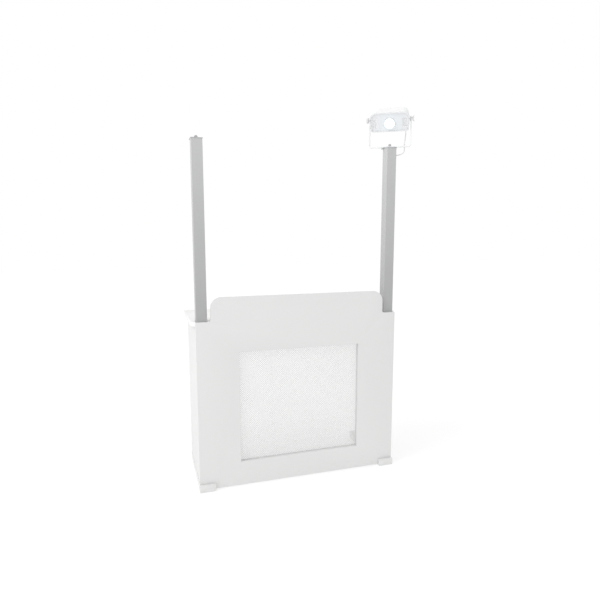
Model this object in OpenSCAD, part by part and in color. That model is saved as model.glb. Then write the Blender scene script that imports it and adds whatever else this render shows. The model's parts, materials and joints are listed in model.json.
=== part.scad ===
// Visitor counter on two runners, with a see-through front window, two
// steel masts and a yoke-mounted flood lamp on the right-hand mast.
// Millimetres, +Z up. The origin is on the floor, at the centre of the four
// floor-anchor holes: midway between the runners and midway along them.
// The front faces -Y and the visitor's left hand is -X.

/* [Front panel] */
// Width of the front panel
panel_w = 1200; // [1000:10:1600]
// Thickness of the front panel
panel_t = 18; // [12:1:30]
// Height of the panel's shoulders and of the counter top
shoulder_h = 976; // [800:2:1200]
// Height of the raised middle above the shoulders
raise_h = 134; // [90:1:260]
// Radius of the raised middle's top corners
raise_r = 60; // [20:1:80]
// Radius of the hollow corner where the raised middle meets a shoulder
raise_foot_r = 14; // [4:1:15]
// Gap between the raised middle and each mast
raise_gap = 18; // [16:1:60]
// Gap between the panel's bottom edge and the floor
floor_gap = 7; // [3:1:30]

/* [Window] */
// Width of solid panel at each side of the window
window_side = 238; // [160:1:320]
// Height of solid panel under the window
window_foot = 148; // [80:1:260]
// Height of solid panel between the window and the shoulders
window_head = 181; // [110:1:260]
// Thickness of the infill sheet
infill_t = 1.5; // [1:0.5:4]
// Width of the beads that hold the sheet, and of its edge under them
bead_w = 18; // [14:1:30]
// Thickness of the beads
bead_t = 10; // [6:1:16]
// Largest spacing of the bead screws
screw_pitch = 170; // [90:5:300]

/* [Cabinet] */
// Depth from the panel's face to the open back
body_d = 464; // [380:2:700]
// Thickness of the side panels
side_t = 18; // [14:1:30]
// Thickness of the counter top
top_t = 26; // [18:1:50]
// Overhang of the counter top past each side panel
top_over = 22; // [5:1:40]
// Radius of the counter top's front corners, which swing out from the panel
top_r = 80; // [60:1:120]
// Height of the rail under the back of the top
rail_h = 80; // [50:1:140]
// Thickness of the rail
rail_t = 18; // [14:1:30]

/* [Runners] */
// Width of a runner
runner_w = 90; // [80:1:140]
// Height of a runner
runner_h = 40; // [25:1:70]
// How far a runner reaches in front of the panel
runner_lead = 18; // [8:1:80]
// How far a runner stands out past the panel's edge
runner_out = 2; // [0:1:20]
// Spacing of the floor-anchor holes along a runner
anchor_pitch = 220; // [160:2:240]
// Radius of the floor-anchor holes
anchor_r = 5.5; // [3:0.5:8]

/* [Masts] */
// Side of the square mast tube
mast_w = 60; // [45:1:70]
// Wall of the mast tube
mast_wall = 3; // [2:0.5:5]
// Height of the mast tube's top above the floor
mast_top = 1949; // [1500:1:2300]
// How far the mast stands inside the panel's edge
mast_inset = 6; // [4:0.5:12]
// How far a cap plate overhangs the tube at its front and sides
cap_over = 2; // [1:0.5:8]
// How far a cap plate overhangs the tube at the back
cap_back = 20; // [2:1:40]
// Thickness of a cap plate
cap_t = 4; // [3:0.5:12]
// Thickness of a mast's foot plate
foot_t = 6; // [4:1:12]
// Width of the foot plate's screw flange beside the tube
foot_lip = 20; // [16:1:20]
// Radius of the cap bolts' shanks
cap_bolt_r = 6; // [4:0.5:8]

/* [Lamp yoke] */
// Gap between the lamp's face and each arm of the yoke
yoke_gap = 1; // [0.8:0.1:20]
// Height of the tilt axis above the yoke's underside
yoke_h = 158; // [135:1:220]
// Thickness of the yoke bar
yoke_t = 5; // [4:0.5:6]
// Width of the yoke bar
yoke_bar = 30; // [24:1:36]
// Heading of the lamp at rest, about the mast
pan_rest = -33; // [-60:1:40]

/* [Lamp head] */
// Width across the top of the lamp's face
head_w = 233; // [200:1:300]
// Width across the bottom of the lamp's face
head_w_low = 217; // [190:1:280]
// Height of the lamp's face
head_h = 110; // [100:1:130]
// Depth of the lamp's head
head_d = 128; // [118:1:150]
// Radius of the face's top corners
head_top_r = 40; // [20:1:44]
// Radius of the face's bottom corners
head_low_r = 12; // [8:1:20]
// Distance from the tilt axis forward to the face
head_front = 50; // [44:1:60]
// Wall of the lamp's housing
head_wall = 2.5; // [2:0.5:4]
// Radius of the lens opening
lens_r = 31; // [20:1:34]
// Drop of the lens centre below the face's middle
lens_drop = 7; // [0:1:12]
// Radius of the tilt studs
stud_r = 4; // [3:0.5:5]
// Radius of the round tilt knob
knob_r = 15.5; // [11:0.5:20]
// Angle that the lamp looks down at rest
tilt_rest = 28; // [0:1:60]

/* [Lead] */
// Diameter of the lamp's lead
lead_d = 6; // [4:0.5:7]

/* [Fits] */
// Running clearance of a shaft in its hole, on the radius
run_gap = 0.05; // [0.02:0.01:0.1]
// Clearance between parts that are only placed together
fit_gap = 0.5; // [0.3:0.1:1]
// Side gap between parts that turn on each other
turn_gap = 0.35; // [0.3:0.05:1]

/* [Hidden] */
$fn = 48;
eps = 0.01;

// Overall places
runner_l = body_d + runner_lead;
face_y = runner_lead - runner_l / 2;
back_y = runner_l / 2;
board_y = face_y + panel_t;
half_w = panel_w / 2;
runner_in = half_w + runner_out - runner_w;
anchor_x = half_w + runner_out - runner_w / 2;
under_top = shoulder_h - top_t;

// Window and beads
window_w = panel_w - 2 * window_side;
window_h = shoulder_h - window_foot - window_head;
bead_y = board_y + infill_t;
screw_r = 1.8;
screw_bite = 10;

// Masts
mast_x = half_w - mast_inset - mast_w / 2;
mast_y = board_y + mast_w / 2;
mast_z = runner_h + foot_t;
mast_in = mast_w - 2 * mast_wall;
raise_half = mast_x - mast_w / 2 - raise_gap;
cap_top = mast_top + cap_t;
plug_h = 20;
lead_r = lead_d / 2;
hole_r = lead_r + 4;
entry_z = mast_top - 38;
exit_z = under_top - 110;
entry_hole = [mast_x + mast_w / 2, mast_y, entry_z];
exit_hole = [mast_x, mast_y + mast_w / 2, exit_z];

// Lamp
washer_t = 1.5;
yoke_z = cap_top + washer_t + turn_gap;
axis_z = yoke_z + yoke_h;
arm_in = head_w / 2 + yoke_gap;
arm_out = arm_in + yoke_t;
nut_h = 10;
bolt_end = 4;
boss_r = 13;
boss_end = arm_in - 1 - turn_gap;
knob_start = arm_out + turn_gap;
rear_scale = 0.86;
bezel_t = 9;
rim = 6;

// Driver box
case_l = 120;
case_h = 60;
case_d = 40;
case_y = mast_y + mast_w / 2 + 30;
case_x = half_w - side_t - case_d;
case_wall = 2;
inlet_w = 23;
inlet_h = 27;

// Places of the lead's gland in the head's underside, and of its clip behind
// the yoke's bar
gland_x = 88;
gland_y = 9;
under_head = head_h / 2 * (1 - (1 - rear_scale) * (head_front - bezel_t + gland_y) / (head_d - bezel_t));
gland_seat = -under_head - 1.2;
gland_r = 7;
gland_nut = 6;
gland_nose = 7;
clip_h = 8;
clip_wall = 2;
clip_spot = [84, yoke_bar / 2 + lead_r + clip_wall + 1, clip_h / 2 - yoke_h];

// Route of the lead from the gland's nose down to the clip, from the clip in the
// yoke's own frame, past its first two points, which follow the head's tilt
lead_upper_route = [
  [4, 22, 84], [4, 21, 72], [3, 17, 59], [2, 11, 46], [1, 5, 33], [0, 1, 20], [0, 0, 10], [0, 0, 0]
];
// Route of the lead from the clip to the mast, from the upper hole in the
// mast's side, past its first two points, which follow the clip
lead_lower_route = [
  [52, -28, 25], [50, -27, 18], [44, -23, 10], [35, -16, 4.5], [25, -9, 1.5], [16, -3, 0.3],
  [9, 0, 0], [4, 0, 0]
];
// Route of the lead into the mast, from the upper hole in the mast's side
lead_entry_route = [
  [4, 0, 0], [-6, 0, 0], [-15, 0, -3], [-23, 0, -10], [-28, 0, -21], [-30, 0, -36]
];
// Route of the lead out of the mast, from the lower hole in the mast's back
lead_exit_route = [
  [0, -30, 36], [0, -28, 21], [0, -23, 10], [0, -15, 3], [0, -6, 0], [0, 4, 0], [0, 36, 0]
];

// ---- shared shapes ----

// A rectangle with rounded corners, centred
module round_rect(w, d, r) {
  square([w - 2 * r, d], center = true);
  square([w, d - 2 * r], center = true);
  for (sx = [-1, 1], sy = [-1, 1])
    translate([sx * (w / 2 - r), sy * (d / 2 - r)]) circle(r);
}

// Stands a drawing of width and height up, so that it faces -Y
module stand(y, t) {
  translate([0, y + t, 0]) rotate([90, 0, 0]) linear_extrude(t) children();
}

// A cylinder along X from x1 to x2
module rod_x(r, x1, x2) {
  translate([x1, 0, 0]) rotate([0, 90, 0]) cylinder(r = r, h = x2 - x1);
}

// A cylinder along Y from y1 to y2
module rod_y(r, y1, y2) {
  translate([0, y1, 0]) rotate([-90, 0, 0]) cylinder(r = r, h = y2 - y1);
}

// Evenly spaced places between two ends, no further apart than the pitch
function spread(a, b, pitch) =
  let (n = ceil(abs(b - a) / pitch)) [for (i = [0:n]) a + (b - a) * i / n];

// A point turned as the head is tilted, or as the yoke is panned, at rest
function tilted(p) = [
  p[0], p[1] * cos(tilt_rest) - p[2] * sin(tilt_rest), p[1] * sin(tilt_rest) + p[2] * cos(tilt_rest)
];
function panned(p) = [
  p[0] * cos(pan_rest) - p[1] * sin(pan_rest), p[0] * sin(pan_rest) + p[1] * cos(pan_rest), p[2]
];

// A round tube swept along a route, as one closed polyhedron. The route never
// runs along the side direction, which keeps the rings from twisting.
function unit(v) = v / norm(v);
function along(p, i) = unit(p[min(i + 1, len(p) - 1)] - p[max(i - 1, 0)]);
function ring(c, t, r, n, side) =
  let (u = unit(cross(t, side)), v = cross(t, u))
  [for (k = [0:n - 1]) c + r * (cos(360 * k / n) * u + sin(360 * k / n) * v)];
module sweep(p, r, side, n = 8) {
  points = [for (i = [0:len(p) - 1]) each ring(p[i], along(p, i), r, n, side)];
  last = (len(p) - 1) * n;
  walls = [for (i = [0:len(p) - 2], k = [0:n - 1])
    let (a = i * n + k, b = i * n + (k + 1) % n)
    [a, a + n, b + n, b]];
  ends = [[for (k = [0:n - 1]) k], [for (k = [n - 1:-1:0]) last + k]];
  polyhedron(points, concat(walls, ends), convexity = 4);
}

// ---- cabinet ----

// Centres of the bead screws, in the window's plane
bead_dx = window_w / 2 + bead_w / 2;
bead_low = window_foot - bead_w / 2;
bead_high = window_foot + window_h + bead_w / 2;
across = spread(-bead_dx, bead_dx, screw_pitch);
upward = spread(bead_low, bead_high, screw_pitch);
screw_spots = concat(
  [for (x = across, z = [bead_low, bead_high]) [x, z]],
  [for (i = [1:len(upward) - 2], x = [-bead_dx, bead_dx]) [x, upward[i]]]
);

module screw_holes() {
  for (s = screw_spots)
    translate([s[0], 0, s[1]]) rod_y(screw_r, board_y - screw_bite, bead_y + bead_t + 1);
}

// Angle brackets between each mast's inner face and the panel's back
bracket_arm = 40;
bracket_l = 50;
bracket_t = 4;
bracket_heights = [runner_h + 260, under_top - 90];
bracket_screw_x = mast_x - mast_w / 2 - bracket_arm / 2 - bracket_t;

// Draws the children at both masts and at both bracket heights
module at_brackets() {
  for (m = [0, 1], z = bracket_heights)
    mirror([m, 0, 0]) translate([0, 0, z]) children();
}

module raised_outline() {
  h = raise_h;
  r = raise_r;
  translate([-raise_half, 0]) square([2 * raise_half, h - r]);
  translate([-raise_half + r, 0]) square([2 * (raise_half - r), h]);
  for (sx = [-1, 1]) {
    translate([sx * (raise_half - r), h - r]) circle(r, $fn = 96);
    difference() {
      translate([sx * (raise_half + raise_foot_r / 2), raise_foot_r / 2])
        square(raise_foot_r, center = true);
      translate([sx * (raise_half + raise_foot_r), raise_foot_r]) circle(raise_foot_r);
    }
  }
}

module front_panel() {
  color("#e9e9e7")
  difference() {
    stand(face_y, panel_t) difference() {
      union() {
        translate([-half_w, floor_gap]) square([panel_w, shoulder_h - floor_gap]);
        translate([0, shoulder_h]) raised_outline();
      }
      translate([-window_w / 2, window_foot]) square([window_w, window_h]);
      for (sx = [-1, 1])
        translate([sx * (runner_in + runner_w / 2), runner_h / 2])
          square([runner_w + 2 * fit_gap, runner_h + 2 * fit_gap], center = true);
    }
    screw_holes();
    bracket_holes();
  }
}

module window_infill() {
  color("#dfe1e0")
  difference() {
    stand(board_y, infill_t)
      translate([-window_w / 2 - bead_w, window_foot - bead_w])
        square([window_w + 2 * bead_w, window_h + 2 * bead_w]);
    screw_holes();
  }
}

// A bead centred on (x, z), as wide and as high as given
module bead(x, z, w, h) {
  color("#e9e9e7")
  difference() {
    translate([x - w / 2, bead_y, z - h / 2]) cube([w, bead_t, h]);
    screw_holes();
  }
}
module bead_top() { bead(0, bead_high, window_w + 2 * bead_w, bead_w); }
module bead_bottom() { bead(0, bead_low, window_w + 2 * bead_w, bead_w); }
module bead_left() { bead(-bead_dx, window_foot + window_h / 2, bead_w, window_h); }
module bead_right() { bead(bead_dx, window_foot + window_h / 2, bead_w, window_h); }

module bead_screws() {
  y = bead_y + bead_t;
  color("#b8bbbd")
  for (s = screw_spots)
    translate([s[0], 0, s[1]]) {
      rod_y(screw_r - 0.1, board_y - screw_bite + 1, y);
      rod_y(2 * screw_r, y, y + 1.6);
    }
}

// A side board, rebated along its front edge to house the mast
module side_panel() {
  h = under_top - runner_h;
  d = back_y - board_y;
  lip = mast_inset - fit_gap;
  color("#f0f0ee")
  difference() {
    translate([half_w - side_t, board_y, runner_h]) cube([side_t, d, h]);
    translate([half_w - side_t - 1, board_y - 1, runner_h - 1])
      cube([side_t - lip + 1, mast_w + fit_gap + 1, h + 2]);
  }
}
module side_panel_left() { mirror([1, 0, 0]) side_panel(); }
module side_panel_right() { side_panel(); }

// The top is as wide as the panel at its front edge and swings out to its
// overhang round each corner
module top_outline() {
  w = half_w + top_over;
  swing = sqrt(top_r * top_r - (top_r - top_over) * (top_r - top_over));
  difference() {
    translate([-w, board_y]) square([2 * w, back_y - board_y]);
    for (sx = [-1, 1]) difference() {
      translate([sx * (half_w + top_over), board_y - 1 + (swing + 1) / 2])
        square([3 * top_over, swing + 1], center = true);
      translate([sx * (w - top_r), board_y + swing]) circle(top_r, $fn = 96);
    }
  }
}
module counter_top() {
  notch = mast_w + 2 * fit_gap;
  color("#f5f5f3")
  difference() {
    translate([0, 0, under_top]) linear_extrude(top_t) top_outline();
    for (sx = [-1, 1])
      translate([sx * mast_x - notch / 2, board_y - 1, under_top - 1])
        cube([notch, mast_w + fit_gap + 1, top_t + 2]);
  }
}

module rear_rail() {
  w = panel_w - 2 * side_t;
  color("#ececea")
  translate([-w / 2, back_y - rail_t, under_top - rail_h]) cube([w, rail_t, rail_h]);
}

// ---- runners ----

module runner() {
  color("#e4e4e2")
  difference() {
    translate([runner_in, -runner_l / 2, 0]) cube([runner_w, runner_l, runner_h]);
    for (sy = [-1, 1])
      translate([anchor_x, sy * anchor_pitch / 2, -1]) cylinder(r = anchor_r, h = runner_h + 2);
    foot_pilot_holes();
  }
}
module runner_left() { mirror([1, 0, 0]) runner(); }
module runner_right() { runner(); }

// ---- masts ----

foot_screw_x = mast_x - mast_w / 2 - foot_lip / 2;
foot_screw_r = 3;
foot_screw_bite = 30;

module foot_pilot_holes() {
  for (sy = [-1, 1])
    translate([foot_screw_x, mast_y + sy * mast_w / 4, runner_h - foot_screw_bite])
      cylinder(r = foot_screw_r + 0.1, h = foot_screw_bite + foot_t + 1);
}

module mast_foot() {
  color("#9a9da0")
  difference() {
    translate([mast_x - mast_w / 2 - foot_lip, mast_y - mast_w / 2, runner_h])
      cube([mast_w + foot_lip, mast_w, foot_t]);
    foot_pilot_holes();
  }
}
module mast_foot_left() { mirror([1, 0, 0]) mast_foot(); }
module mast_foot_right() { mast_foot(); }

module foot_screws() {
  color("#b8bbbd")
  for (sx = [-1, 1], sy = [-1, 1])
    translate([sx * foot_screw_x, mast_y + sy * mast_w / 4, 0]) {
      translate([0, 0, runner_h - foot_screw_bite + 2])
        cylinder(r = foot_screw_r, h = foot_screw_bite - 2 + foot_t);
      translate([0, 0, runner_h + foot_t]) cylinder(r = 6, h = 4, $fn = 6);
    }
}

module mast() {
  color("#bcbec1")
  difference() {
    translate([mast_x, mast_y, mast_z]) linear_extrude(mast_top - mast_z)
      difference() {
        round_rect(mast_w, mast_w, 3);
        round_rect(mast_in, mast_in, 1);
      }
    bracket_holes();
  }
}
module mast_left() { mirror([1, 0, 0]) mast(); }
module mast_right() {
  difference() {
    mast();
    translate([0, mast_y, entry_z])
      rod_x(hole_r, mast_x + mast_w / 2 - mast_wall - 1, mast_x + mast_w / 2 + 1);
    translate([mast_x, 0, exit_z])
      rod_y(hole_r, mast_y + mast_w / 2 - mast_wall - 1, mast_y + mast_w / 2 + 1);
  }
}

module bracket_holes() {
  at_brackets() {
    translate([bracket_screw_x, 0, 0])
      rod_y(screw_r, board_y - screw_bite, board_y + bracket_t + 1);
    translate([0, mast_y, 0])
      rod_x(screw_r + 0.2, mast_x - mast_w / 2 - bracket_t - 1, mast_x - mast_w / 2 + mast_wall + 1);
  }
}

module mast_brackets() {
  color("#b8bbbd")
  difference() {
    at_brackets() translate([mast_x - mast_w / 2, board_y, -bracket_l / 2]) {
      translate([-bracket_arm, 0, 0]) cube([bracket_arm, bracket_t, bracket_l]);
      translate([-bracket_t, 0, 0]) cube([bracket_t, mast_w - 6, bracket_l]);
    }
    bracket_holes();
  }
}

module bracket_screws() {
  color("#9a9da0")
  at_brackets() {
    translate([bracket_screw_x, 0, 0]) {
      rod_y(screw_r - 0.1, board_y - screw_bite + 1, board_y + bracket_t);
      rod_y(2 * screw_r, board_y + bracket_t, board_y + bracket_t + 2);
    }
    translate([mast_x - mast_w / 2, mast_y, 0]) {
      rod_x(screw_r, -bracket_t, mast_wall + 4);
      rod_x(2 * screw_r, -bracket_t - 2, -bracket_t);
    }
  }
}

// A cap plate with its plug in the tube and the hole for its bolt
module mast_cap() {
  plug_w = mast_in - 2 * fit_gap;
  color("#a9abae")
  difference() {
    union() {
      translate([mast_x, mast_y + (cap_back - cap_over) / 2, mast_top])
        linear_extrude(cap_t) round_rect(mast_w + 2 * cap_over, mast_w + cap_over + cap_back, 3);
      translate([mast_x, mast_y, mast_top - plug_h]) linear_extrude(plug_h) round_rect(plug_w, plug_w, 1);
    }
    translate([mast_x, mast_y, mast_top - plug_h - 1])
      cylinder(r = cap_bolt_r + run_gap, h = plug_h + cap_t + 2);
  }
}
module mast_cap_left() { mirror([1, 0, 0]) mast_cap(); }
module mast_cap_right() { mast_cap(); }

// A bolt up through a mast's cap, to the height of its nut's underside and on
module mast_bolt(seat) {
  head_t = 7;
  low = mast_top - plug_h;
  color("#8f9396")
  translate([mast_x, mast_y, 0]) {
    translate([0, 0, low]) cylinder(r = cap_bolt_r, h = seat + nut_h + bolt_end - low);
    translate([0, 0, low - head_t]) cylinder(r = 1.75 * cap_bolt_r, h = head_t, $fn = 6);
  }
}
module cap_bolt() { mirror([1, 0, 0]) mast_bolt(cap_top); }
module pan_bolt() { mast_bolt(yoke_z + yoke_t); }

// A flanged nut on a mast's bolt
module mast_nut(seat) {
  flange = 1.5;
  color("#8f9396")
  translate([mast_x, mast_y, seat])
  difference() {
    union() {
      cylinder(r = 1.85 * cap_bolt_r, h = flange);
      translate([0, 0, flange]) cylinder(r = 1.6 * cap_bolt_r, h = nut_h - flange, $fn = 6);
    }
    translate([0, 0, -1]) cylinder(r = cap_bolt_r + run_gap, h = nut_h + 2);
  }
}
module cap_nut() { mirror([1, 0, 0]) mast_nut(cap_top); }
module pan_nut() { mast_nut(yoke_z + yoke_t + turn_gap); }

// ---- lead and driver ----

// Rubber rings in the mast's two lead holes
module grommet() {
  rotate_extrude()
    difference() {
      translate([lead_r + 0.2, -mast_wall / 2 - 2]) square([hole_r + 2.4 - lead_r, mast_wall + 4]);
      translate([hole_r - 0.1, -mast_wall / 2 - 0.1]) square([5, mast_wall + 0.2]);
    }
}
module lead_grommets() {
  color("#3a3a3c") {
    translate([mast_x + mast_w / 2 - mast_wall / 2, mast_y, entry_z]) rotate([0, 90, 0]) grommet();
    translate([mast_x, mast_y + mast_w / 2 - mast_wall / 2, exit_z]) rotate([90, 0, 0]) grommet();
  }
}

module lead_in_mast() {
  entry = [for (p = lead_entry_route) p + entry_hole];
  exit = [for (p = lead_exit_route) p + exit_hole];
  color("#d5d6d8") sweep(concat(entry, exit), lead_r, [1, 1, 1]);
}

module lead_lower() {
  clip = [for (drop = [0, 14]) panned(clip_spot) + [mast_x, mast_y, axis_z - drop]];
  route = [for (p = lead_lower_route) p + entry_hole];
  color("#d5d6d8") sweep(concat(clip, route), lead_r, [0, 1, 0]);
}

module driver_case() {
  wall = case_wall;
  color("#c9cbcd")
  translate([case_x, case_y, exit_z - case_h / 2])
  difference() {
    translate([wall, 0, 0]) cube([case_d - wall, case_l, case_h]);
    translate([0, wall, wall]) cube([case_d - wall, case_l - 2 * wall, case_h - 2 * wall]);
    translate([mast_x - case_x, 0, case_h / 2]) rod_y(lead_r + 0.2, -1, wall + 1);
    translate([(case_d - inlet_w) / 2 - fit_gap, case_l - wall - 1, (case_h - inlet_h) / 2 - fit_gap])
      cube([inlet_w + 2 * fit_gap, wall + 2, inlet_h + 2 * fit_gap]);
  }
}

module driver_cover() {
  color("#c9cbcd")
  translate([case_x, case_y, exit_z - case_h / 2]) cube([case_wall, case_l, case_h]);
}

module driver_board() {
  z = exit_z - case_h / 2;
  color("#2e6b4a")
  translate([case_x + case_d - 8, case_y + 12, z + 8]) {
    cube([1.6, case_l - 50, case_h - 16]);
    translate([-14, 10, 8]) cube([14, 26, 26]);
    translate([-10, 46, 12]) rotate([0, 90, 0]) cylinder(r = 6, h = 10);
  }
}

// A cold-appliance inlet in the back end of the driver case
module power_inlet() {
  y = case_y + case_l;
  color("#2b2b2d")
  translate([case_x + case_d / 2, y, exit_z])
  difference() {
    union() {
      translate([-inlet_w / 2, -14, -inlet_h / 2]) cube([inlet_w, 14, inlet_h]);
      translate([-inlet_w / 2 - 3.5, 0, -inlet_h / 2 - 6.5]) cube([inlet_w + 7, 3, inlet_h + 13]);
    }
    translate([-inlet_w / 2 + 3.5, -10, -inlet_h / 2 + 2.5]) cube([inlet_w - 7, 14, inlet_h - 5]);
  }
}

// ---- yoke ----

// Places what turns with the yoke, from the tilt axis
module on_yoke() {
  translate([mast_x, mast_y, axis_z]) rotate([0, 0, pan_rest]) children();
}
// Places what tilts with the lamp's head, from the tilt axis
module on_head() {
  on_yoke() rotate([tilt_rest, 0, 0]) children();
}

module yoke() {
  reach = yoke_bar / 2;
  bend = 12;
  color("#f4f4f4")
  on_yoke()
  difference() {
    intersection() {
      rotate([90, 0, 0]) linear_extrude(yoke_bar, center = true)
        difference() {
          u_shape(arm_out, -yoke_h, bend);
          u_shape(arm_in, -yoke_h + yoke_t, bend - yoke_t);
        }
      union() {
        rod_x(reach, -arm_out - 1, arm_out + 1);
        translate([-arm_out - 1, -reach, -yoke_h - 1]) cube([2 * arm_out + 2, yoke_bar, yoke_h + 1]);
      }
    }
    rod_x(stud_r + run_gap, -arm_out - 1, arm_out + 1);
    translate([0, 0, -yoke_h - 1]) cylinder(r = cap_bolt_r + run_gap, h = yoke_t + 2);
  }
}

// A tall U drawn solid, open upwards past the arms' ends
module u_shape(half, low, r) {
  high = 40;
  translate([-half, low + r]) square([2 * half, high - low - r]);
  translate([-half + r, low]) square([2 * (half - r), r + 1]);
  for (sx = [-1, 1])
    translate([sx * (half - r), low + r]) circle(r);
}

module pan_washer() {
  color("#5b5e61")
  translate([mast_x, mast_y, cap_top])
  difference() {
    cylinder(r = 14, h = washer_t);
    translate([0, 0, -1]) cylinder(r = cap_bolt_r + run_gap, h = washer_t + 2);
  }
}

// Fibre washers on the inner faces of the yoke's arms
module tilt_washers() {
  color("#5b5e61")
  on_yoke()
  for (sx = [-1, 1])
    mirror([sx > 0 ? 0 : 1, 0, 0])
    difference() {
      rod_x(boss_r, arm_in - 1, arm_in);
      rod_x(stud_r + 0.3, arm_in - 2, arm_in + 1);
    }
}

// A clip on the back edge of the yoke's bar, round the lead
module lead_clip() {
  spot = clip_spot;
  tab = 6;
  color("#e2e2e2")
  on_yoke()
  translate([spot[0], 0, -yoke_h])
  difference() {
    union() {
      translate([0, spot[1], 0]) cylinder(r = lead_r + clip_wall, h = clip_h);
      translate([-tab / 2, yoke_bar / 2, 0]) cube([tab, spot[1] - yoke_bar / 2, yoke_t]);
    }
    translate([0, spot[1], -1]) cylinder(r = lead_r + 0.1, h = clip_h + 2);
  }
}

module lead_upper() {
  nose = gland_seat - gland_nut - gland_nose;
  start = [for (drop = [0, 8]) tilted([gland_x, gland_y, nose - drop])];
  route = [for (p = lead_upper_route) clip_spot + p];
  color("#d5d6d8") on_yoke() sweep(concat(start, route), lead_r, [0, 1, 0]);
}

// ---- lamp head ----

// The face's outline, drawn in as much as inset says
module face_outline(inset = 0) {
  low = head_w_low / 2 - inset;
  wide = head_w / 2 - inset;
  half = head_h / 2 - inset;
  top_r = head_top_r - inset / 2;
  low_r = head_low_r - inset / 2;
  hull()
  for (sx = [-1, 1]) {
    translate([sx * (wide - top_r), half - top_r]) circle(top_r, $fn = 40);
    translate([sx * (low - low_r), -half + low_r]) circle(low_r, $fn = 32);
  }
}

head_back = head_d - head_front;

// The tapering body of the housing, smaller all round by the inset
module head_body(inset) {
  hull() {
    stand(-head_front + bezel_t, 1) face_outline(inset);
    stand(head_back - 2 - inset, 1) scale([rear_scale, rear_scale]) face_outline(inset);
  }
}

module head_shell() {
  vents = 9;
  color("#d7d9db")
  on_head()
  difference() {
    head_body(0);
    translate([0, -1, 0]) head_body(head_wall);
    for (sx = [-1, 1])
      mirror([sx > 0 ? 0 : 1, 0, 0]) rod_x(boss_r + 0.1, 60, arm_in);
    for (i = [0:vents - 1])
      translate([(i - (vents - 1) / 2) * 14 - 2, head_back - 10, -22]) cube([4, 20, 44]);
    translate([gland_x, gland_y, -60]) cylinder(r = gland_r + 0.1, h = 30);
  }
}

module head_bezel() {
  color("#f1f2f3")
  on_head()
  difference() {
    stand(-head_front, bezel_t) difference() {
      face_outline(0);
      face_outline(rim);
    }
    bezel_screw_places() rod_y(bezel_screw_r + 0.1, -head_front - 1, -head_front + bezel_t + 1);
  }
}

// The four screws in the bezel's rim
bezel_screw_r = 1.2;
module bezel_screw_places() {
  for (sx = [-1, 1]) {
    translate([sx * (head_w - rim) / 2, 0, head_h / 2 - head_top_r]) children();
    translate([sx * (head_w_low - rim) / 2, 0, head_low_r - head_h / 2]) children();
  }
}
module bezel_screws() {
  color("#b8bbbd")
  on_head()
  bezel_screw_places() {
    rod_y(bezel_screw_r, -head_front, -head_front + bezel_t);
    rod_y(2 * bezel_screw_r, -head_front - 1, -head_front);
  }
}

louvre_in = lens_r + 39;
louvre_w = 34;
louvre_h = 56;
louvre_z = -4;
plate_y = -head_front + 4;
plate_t = 3;

module face_plate() {
  color("#dfe8f2")
  on_head()
  stand(plate_y, plate_t) difference() {
    face_outline(rim + 0.3);
    translate([0, -lens_drop]) circle(lens_r + 0.2, $fn = 64);
    for (sx = [-1, 1])
      translate([sx * (louvre_in + louvre_w / 2), louvre_z])
        square([louvre_w, louvre_h], center = true);
  }
}

// A frame of upright slats, set into the face plate. The slats overlap, so that
// nothing shows between them.
module louvre(sx) {
  slats = 6;
  edge = 2;
  gap = 0.2;
  depth = 8;
  step = (louvre_w - 2 * edge) / slats;
  color("#c3cbd6")
  on_head()
  translate([sx * (louvre_in + louvre_w / 2), plate_y, louvre_z]) {
    difference() {
      translate([-louvre_w / 2 + gap, 0, -louvre_h / 2 + gap])
        cube([louvre_w - 2 * gap, depth, louvre_h - 2 * gap]);
      translate([-louvre_w / 2 + edge, -1, -louvre_h / 2 + edge])
        cube([louvre_w - 2 * edge, depth + 2, louvre_h - 2 * edge]);
    }
    for (i = [0:slats - 1])
      translate([-louvre_w / 2 + edge + (i + 0.5) * step, depth / 2, 0])
        rotate([0, 0, sx * 55]) cube([1, step + 2, louvre_h - 2 * edge + eps], center = true);
  }
}
module louvre_left() { louvre(-1); }
module louvre_right() { louvre(1); }

// Places round things on the lens axis, turned to look out of the face
module on_lens() {
  on_head() translate([0, 0, -lens_drop]) rotate([90, 0, 0]) children();
}

module lens_ring() {
  color("#9fa6ad")
  on_lens()
  rotate_extrude($fn = 64) {
    translate([lens_r - 3, head_front - 5]) square([3, 8]);
    translate([lens_r - 6, head_front - 7]) square([6, 2]);
  }
}

module lens() {
  rise = 5;
  r = lens_r - 3.2;
  ball = (r * r + rise * rise) / (2 * rise);
  color("#bfe9f5")
  on_lens()
  translate([0, 0, head_front - 4.9]) rotate_extrude($fn = 64)
    intersection() {
      translate([0, rise + 2 - ball]) circle(ball, $fn = 180);
      square([r, rise + 2]);
    }
}

module reflector() {
  color("#dfe3e6")
  on_lens()
  rotate_extrude($fn = 64)
    polygon([
      [10, head_front - 40], [12, head_front - 40], [lens_r - 2, head_front - 7.4],
      [lens_r - 4, head_front - 7.4]
    ]);
}

module led_board() {
  color("#f3edc8")
  on_lens() {
    translate([0, 0, head_front - 43]) cylinder(r = 18, h = 2);
    translate([0, 0, head_front - 41]) cylinder(r = 8, h = 1.5);
  }
}

module heat_sink() {
  fins = 9;
  color("#aeb2b6")
  on_lens()
  translate([0, 0, head_front - 43]) {
    translate([-50, -22, -6]) cube([100, 50, 6]);
    for (i = [0:fins - 1])
      translate([-50 + i * (100 - 2) / (fins - 1), -22, -34]) cube([2, 50, 28 + eps]);
  }
}

// A turned boss in the housing's side with the threaded stud in one piece
module pivot() {
  color("#b8bbbd") {
    rod_x(boss_r, head_w_low / 2 - 22, boss_end);
    rod_x(stud_r, boss_end - eps, knob_start + 11);
  }
}
module pivot_left() { on_head() mirror([1, 0, 0]) pivot(); }
module pivot_right() { on_head() pivot(); }

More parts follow.
